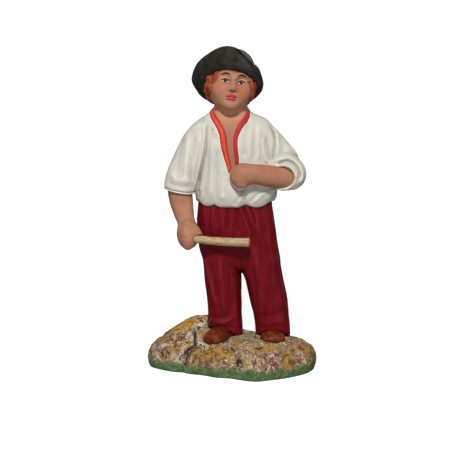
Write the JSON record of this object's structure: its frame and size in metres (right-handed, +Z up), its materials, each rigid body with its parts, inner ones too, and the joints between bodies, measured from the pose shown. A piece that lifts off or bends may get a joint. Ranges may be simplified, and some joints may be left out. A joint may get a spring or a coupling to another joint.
{
  "type": "santon figure",
  "caption": "Standing painted clay figure of a man in blouse and trousers, hat tipped back, hand tucked in at the chest, a short stick in the other hand, on a rocky base.",
  "frame": {"origin": "on the ground, under the middle of the whole piece's box", "axes": "+Z up, the man faces -Y, and +X is to the right as seen from in front of him"},
  "size_m": [0.0512, 0.0378, 0.1],
  "materials": {
    "painted_clay": "satin",
    "stick_wood": "matte"
  },
  "bodies": {
    "root": {"santon_figure": "painted_clay", "stick": "stick_wood"}
  },
  "joints": []
}
